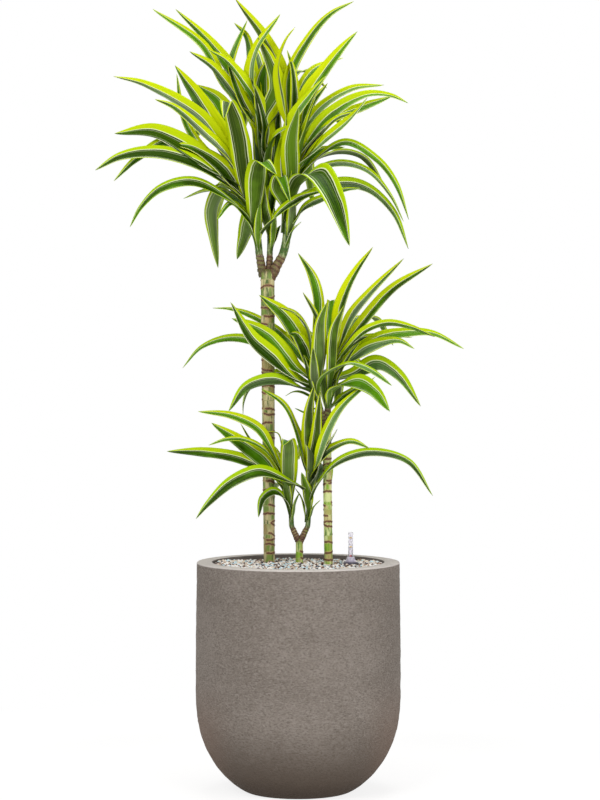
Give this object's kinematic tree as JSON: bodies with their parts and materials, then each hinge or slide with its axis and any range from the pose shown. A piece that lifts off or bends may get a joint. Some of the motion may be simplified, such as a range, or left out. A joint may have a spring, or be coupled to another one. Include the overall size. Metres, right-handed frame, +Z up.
{
  "type": "potted dracaena",
  "caption": "Potted dracaena: bare canes of different heights with striped lime-edged leaves in a round granulate-filled planter with a water level gauge.",
  "frame": {"origin": "middle of the planter's flat base, on the surface that it stands on", "axes": "+Z up along the planter's axis, -Y towards the front that the picture shows, +X to the right"},
  "size_m": [0.7824, 0.586, 1.6853],
  "materials": {
    "planter": "rough matte grey-brown clay look",
    "granulate": "loose mixed mineral granules",
    "cane_tall": "beige-green bark with brown ring scars",
    "cane_green": "green bark with brown ring scars",
    "leaves": "smooth leathery leaf, dark green centre and lime edges",
    "gauge_housing": "satin",
    "gauge_collar": "satin",
    "gauge_tube": "clear",
    "gauge_float": "gloss"
  },
  "bodies": {
    "root": {"planter": "planter", "substrate": "granulate", "cane_tall": "cane_tall", "cane_middle": "cane_green", "cane_short": "cane_green", "shoot_tall_left": "leaves", "shoot_tall_centre": "leaves", "shoot_tall_right": "leaves", "shoot_middle_left": "leaves", "shoot_middle_right": "leaves", "shoot_short_left": "leaves", "shoot_short_right": "leaves", "gauge_shaft": "gauge_housing", "gauge_collar": "gauge_collar", "gauge_tube": "gauge_tube"},
    "float": {"gauge_float": "gauge_float"}
  },
  "joints": [
    {"name": "float_rise", "type": "slide", "parent": "root", "child": "float", "axis": [0, 0, 1], "range_m": [0, 0.04]}
  ]
}
